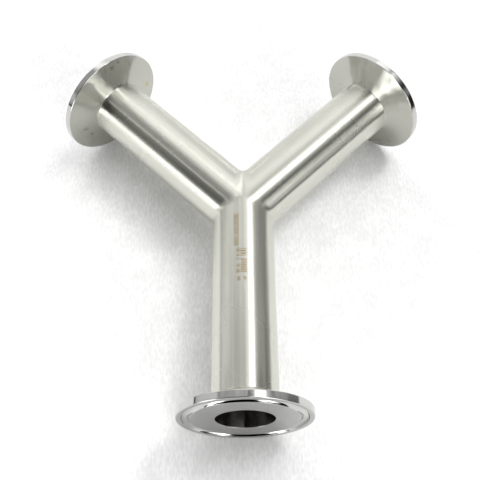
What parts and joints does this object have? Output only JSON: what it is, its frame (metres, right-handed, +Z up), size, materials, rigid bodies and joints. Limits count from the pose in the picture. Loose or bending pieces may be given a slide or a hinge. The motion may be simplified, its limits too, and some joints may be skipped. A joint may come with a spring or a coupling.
{
  "type": "clamp-end wye pipe fitting",
  "caption": "Hygienic stainless steel wye: a tube that parts into two branches at equal angles, each end welded to a flanged clamp ferrule with a gasket groove.",
  "frame": {"origin": "centre of the run port's sealing face", "axes": "+Y along the run leg, from its face towards the crossing of the centre lines; +Z up, square to the plane that holds the three centre lines; the left branch leans to -X and the right one to +X"},
  "size_m": [0.161, 0.1694, 0.0506],
  "materials": {
    "tube_steel": "fine satin polish along and round the tube",
    "ferrule_steel": "turned and polished, with faint concentric tool lines"
  },
  "bodies": {
    "root": {"run_tube": "tube_steel", "left_branch_tube": "tube_steel", "right_branch_tube": "tube_steel", "run_ferrule": "ferrule_steel", "left_ferrule": "ferrule_steel", "right_ferrule": "ferrule_steel"}
  },
  "joints": []
}
